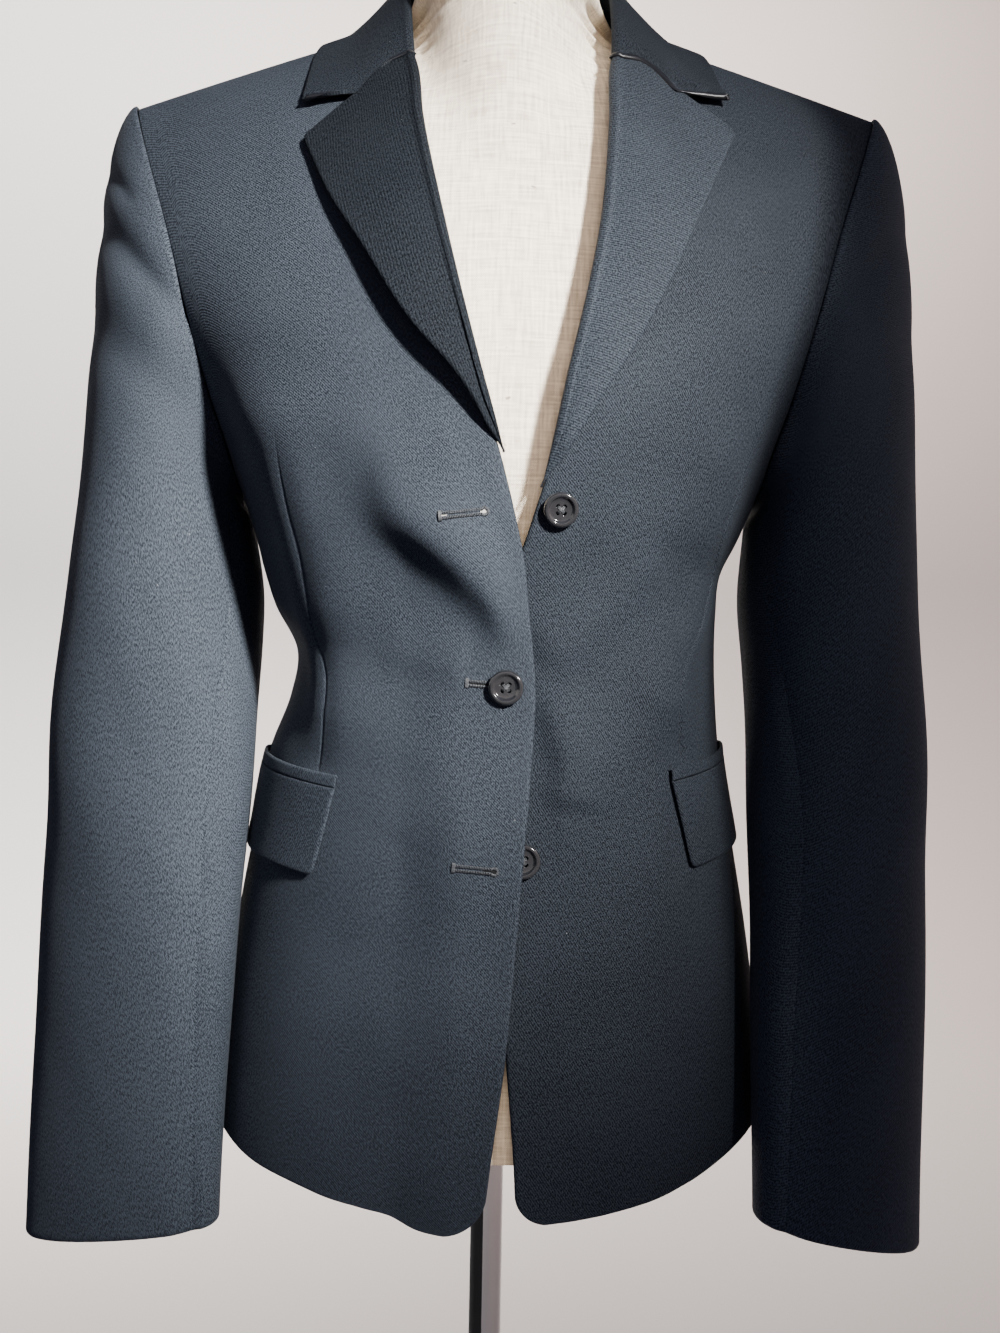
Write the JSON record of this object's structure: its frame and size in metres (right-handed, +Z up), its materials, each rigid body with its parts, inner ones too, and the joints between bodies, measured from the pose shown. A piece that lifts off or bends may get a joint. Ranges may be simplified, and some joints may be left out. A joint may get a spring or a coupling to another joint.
{
  "type": "single-breasted blazer on a dress form with a stand",
  "caption": "Fitted notch-lapel blazer, single-breasted, with flap pockets and long sleeves, worn on a limbless linen dress form that stands on a chrome pole and a round base.",
  "frame": {"origin": "centre of the base's underside, on the floor", "axes": "+Z up; the wearer faces -Y, so the wearer's right is at -X"},
  "size_m": [0.5016, 0.32, 1.5],
  "materials": {
    "wool": "very dark navy twill, matt with a soft sheen",
    "button": "near-black gloss",
    "linen": "cream plain weave, matt",
    "pole": "polished",
    "base": "satin"
  },
  "bodies": {
    "root": {"front_right": "wool", "front_left": "wool", "back_right": "wool", "back_left": "wool", "sleeve_right_top": "wool", "sleeve_right_under": "wool", "sleeve_left_top": "wool", "sleeve_left_under": "wool", "lapel_right": "wool", "lapel_left": "wool", "collar": "wool", "welt_right": "wool", "welt_left": "wool", "flap_right": "wool", "flap_left": "wool", "button_top": "button", "button_middle": "button", "button_lower": "button", "form_torso": "linen", "pole": "pole", "base": "base"}
  },
  "joints": []
}
